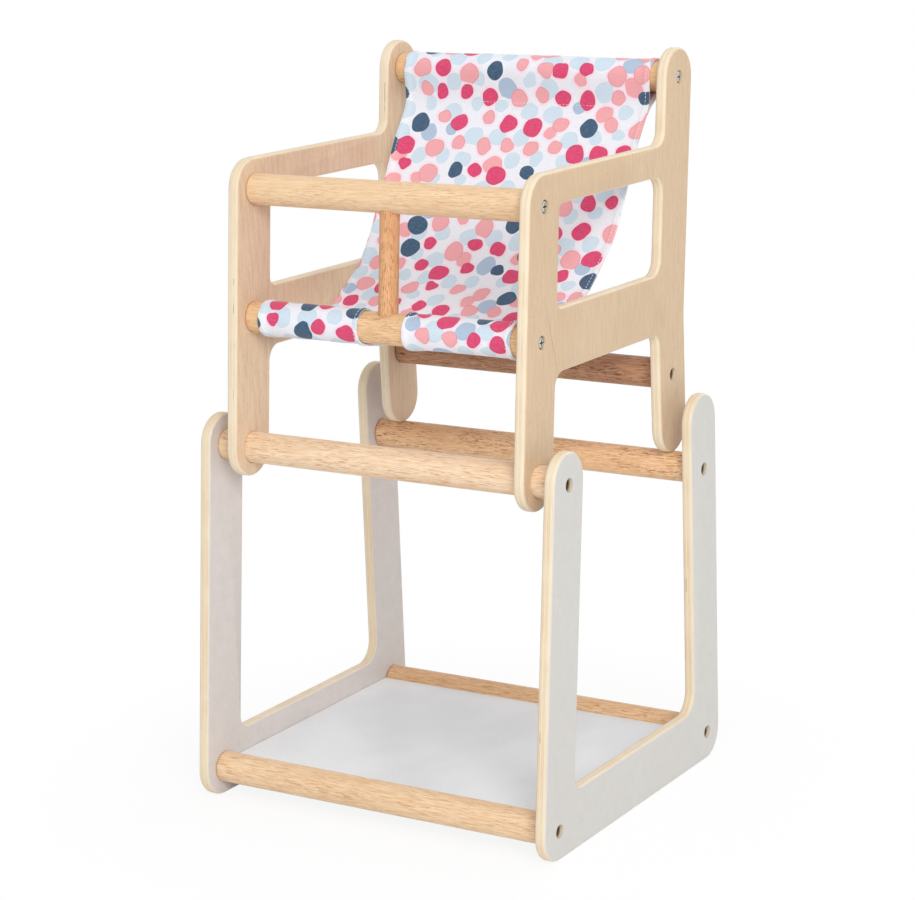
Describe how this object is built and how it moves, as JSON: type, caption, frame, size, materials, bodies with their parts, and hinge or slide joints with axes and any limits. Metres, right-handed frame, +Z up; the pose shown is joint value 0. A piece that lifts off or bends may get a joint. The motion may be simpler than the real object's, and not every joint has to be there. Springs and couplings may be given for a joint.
{
  "type": "doll high chair",
  "caption": "Plywood doll high chair with a cloth sling seat, hinged on a lower frame with a board, so that it tips over into a low chair with a table.",
  "frame": {"origin": "on the floor under the middle of the part's bounding box", "axes": "+Z up, -Y towards the chair's front, +X towards the viewer's right when the chair is seen from the front"},
  "size_m": [0.31, 0.294, 0.572],
  "materials": {
    "chair_ply": "satin clear lacquer on birch plywood",
    "base_laminate": "satin pale grey laminate on plywood, bare rounded edges",
    "board_laminate": "satin pale grey laminate on plywood",
    "dowel_wood": "satin clear lacquer on beech",
    "crotch_wood": "satin clear lacquer on darker beech",
    "screw_steel": "bright nickel plate on steel",
    "printed_cloth": "matte cotton printed with dots"
  },
  "bodies": {
    "base_frame": {"base_side_left": "base_laminate", "base_side_right": "base_laminate", "pivot_dowel": "dowel_wood", "rear_rest_dowel": "dowel_wood", "bottom_front_dowel": "dowel_wood", "bottom_rear_dowel": "dowel_wood", "table_board": "board_laminate", "screw_pivot_left": "screw_steel", "screw_pivot_right": "screw_steel", "screw_rear_rest_left": "screw_steel", "screw_rear_rest_right": "screw_steel", "screw_bottom_front_left": "screw_steel", "screw_bottom_front_right": "screw_steel", "screw_bottom_rear_left": "screw_steel", "screw_bottom_rear_right": "screw_steel"},
    "chair": {"chair_side_left": "chair_ply", "chair_side_right": "chair_ply", "backrest_dowel": "dowel_wood", "armrest_dowel": "dowel_wood", "seat_front_dowel": "dowel_wood", "rear_crossbar_dowel": "dowel_wood", "crotch_dowel": "crotch_wood", "seat_sling": "printed_cloth", "screw_backrest_left": "screw_steel", "screw_backrest_right": "screw_steel", "screw_armrest_left": "screw_steel", "screw_armrest_right": "screw_steel", "screw_seat_front_left": "screw_steel", "screw_seat_front_right": "screw_steel", "screw_rear_crossbar_left": "screw_steel", "screw_rear_crossbar_right": "screw_steel"}
  },
  "joints": [
    {"name": "chair_fold", "type": "hinge", "parent": "base_frame", "child": "chair", "pos_m": [0, -0.10465, 0.2793], "axis": [1, 0, 0], "range_deg": [0, 180]}
  ]
}
